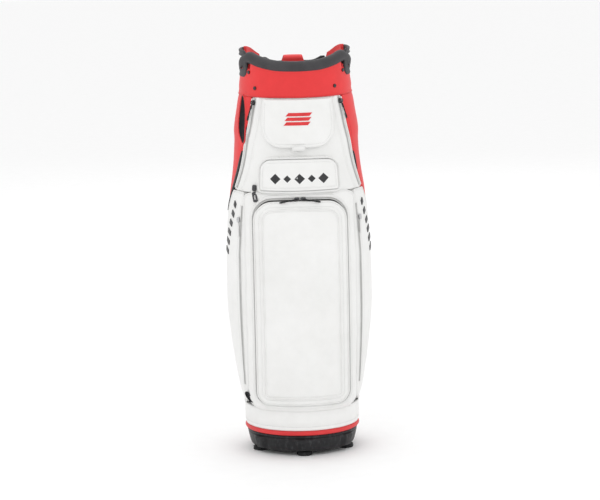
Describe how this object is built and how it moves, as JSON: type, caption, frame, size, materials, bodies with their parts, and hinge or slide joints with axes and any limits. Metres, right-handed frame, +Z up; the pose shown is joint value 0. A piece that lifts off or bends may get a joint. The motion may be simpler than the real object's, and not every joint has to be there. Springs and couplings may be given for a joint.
{
  "type": "golf staff bag",
  "caption": "Upright golf bag with a six-way divided top, padded zipped pockets, a hinged flap, lift handles, a shoulder strap and a moulded base on rubber feet.",
  "frame": {"origin": "on the axis of the bag, on the plane that the feet stand on", "axes": "+Z up along the tube, -Y out of the front pocket, +X to the right of someone who looks at the front"},
  "size_m": [0.3158, 0.3362, 0.8893],
  "materials": {
    "white_leather": "satin, fine pebble grain",
    "red_leather": "satin, fine pebble grain",
    "black_plastic": "moulded, fine texture",
    "black_rubber": "soft matt",
    "black_lining": "woven nylon",
    "dark_metal": "gunmetal",
    "steel": "plated"
  },
  "bodies": {
    "bag": {"back_cover": "white_leather", "base_band": "white_leather", "base_cup": "black_plastic", "base_piping": "red_leather", "body_cover": "black_lining", "body_tube": "black_plastic", "bottle_sleeve": "red_leather", "collar": "red_leather", "divider_sheets": "black_lining", "flap_pocket": "white_leather", "foot_front": "black_rubber", "foot_front_left": "black_rubber", "foot_front_right": "black_rubber", "foot_rear_left": "black_rubber", "foot_rear_right": "black_rubber", "front_pocket": "white_leather", "lift_handle_left": "black_plastic", "lift_handle_right": "black_plastic", "rear_handle": "red_leather", "rear_rim": "black_rubber", "red_pocket": "red_leather", "rim_buckle_left": "black_plastic", "rim_buckle_right": "black_plastic", "rim_grip": "black_rubber", "shoulder_strap": "black_lining", "side_pocket_left": "white_leather", "side_pocket_right": "white_leather", "stay_left": "steel", "stay_right": "steel", "strap_anchor_lower": "black_lining", "strap_anchor_upper": "black_lining", "strap_ring_lower": "steel", "strap_ring_upper": "steel", "stud_front_left": "dark_metal", "stud_front_right": "dark_metal", "stud_side_left": "dark_metal", "stud_side_right": "dark_metal", "top_frame": "black_plastic", "upper_front": "white_leather", "valuables_pocket": "white_leather", "vent": "black_rubber"},
    "front_door": {"front_pocket_door": "white_leather"},
    "front_slider_left": {"front_slider_left": "dark_metal"},
    "front_slider_right": {"front_slider_right": "dark_metal"},
    "front_pull_left": {"front_pull_left": "black_rubber"},
    "front_pull_right": {"front_pull_right": "black_rubber"},
    "flap": {"flap": "white_leather", "flap_tab": "white_leather"},
    "valuables_door": {"valuables_door": "white_leather"},
    "valuables_slider": {"valuables_slider": "dark_metal"},
    "valuables_puller": {"valuables_puller": "dark_metal"},
    "side_slider_left": {"side_slider_left": "dark_metal", "side_pull_left": "black_rubber"},
    "side_slider_right": {"side_slider_right": "dark_metal", "side_pull_right": "black_rubber"},
    "corner_slider_left": {"corner_slider_left": "dark_metal", "corner_pull_left": "black_rubber"},
    "corner_slider_right": {"corner_slider_right": "dark_metal", "corner_pull_right": "black_rubber"}
  },
  "joints": [
    {"name": "front_door_hinge", "type": "hinge", "parent": "bag", "child": "front_door", "pos_m": [0, -0.13438, 0.1173], "axis": [1, 0, 0], "range_deg": [0, 100]},
    {"name": "front_slider_left_run", "type": "hinge", "parent": "bag", "child": "front_slider_left", "pos_m": [0, -0.00665, 0.55719], "axis": [0, -0.121, -0.9927], "range_deg": [0, 12]},
    {"name": "front_slider_right_run", "type": "hinge", "parent": "bag", "child": "front_slider_right", "pos_m": [0, -0.00665, 0.55719], "axis": [0, 0.121, 0.9927], "range_deg": [0, 12]},
    {"name": "front_pull_left_flip", "type": "hinge", "parent": "front_slider_left", "child": "front_pull_left", "pos_m": [-0.01379, -0.15264, 0.57471], "axis": [0, 0.1923, 0.9813], "range_deg": [0, 95]},
    {"name": "front_pull_right_flip", "type": "hinge", "parent": "front_slider_right", "child": "front_pull_right", "pos_m": [0.01379, -0.15264, 0.57471], "axis": [0, -0.1923, -0.9813], "range_deg": [0, 95]},
    {"name": "flap_hinge", "type": "hinge", "parent": "bag", "child": "flap", "pos_m": [0, -0.13227, 0.7863], "axis": [-1, 0, 0], "range_deg": [0, 110]},
    {"name": "valuables_door_hinge", "type": "hinge", "parent": "bag", "child": "valuables_door", "pos_m": [0, -0.15193, 0.5923], "axis": [1, 0, 0], "range_deg": [0, 60]},
    {"name": "valuables_slider_run", "type": "slide", "parent": "bag", "child": "valuables_slider", "axis": [0.0599, 0.0669, 0.996], "range_m": [0, 0.015]},
    {"name": "valuables_puller_flip", "type": "hinge", "parent": "valuables_slider", "child": "valuables_puller", "pos_m": [-0.098, -0.10936, 0.58682], "axis": [-1, 0, 0], "range_deg": [0, 60]},
    {"name": "side_slider_left_run", "type": "slide", "parent": "bag", "child": "side_slider_left", "axis": [-0.0073, -0.0796, -0.9968], "range_m": [0, 0.08]},
    {"name": "side_slider_right_run", "type": "slide", "parent": "bag", "child": "side_slider_right", "axis": [0.0073, -0.0796, -0.9968], "range_m": [0, 0.08]},
    {"name": "corner_slider_left_run", "type": "slide", "parent": "bag", "child": "corner_slider_left", "axis": [-0.1803, 0.038, -0.9829], "range_m": [0, 0.06]},
    {"name": "corner_slider_right_run", "type": "slide", "parent": "bag", "child": "corner_slider_right", "axis": [0.1803, 0.038, -0.9829], "range_m": [0, 0.06]}
  ]
}
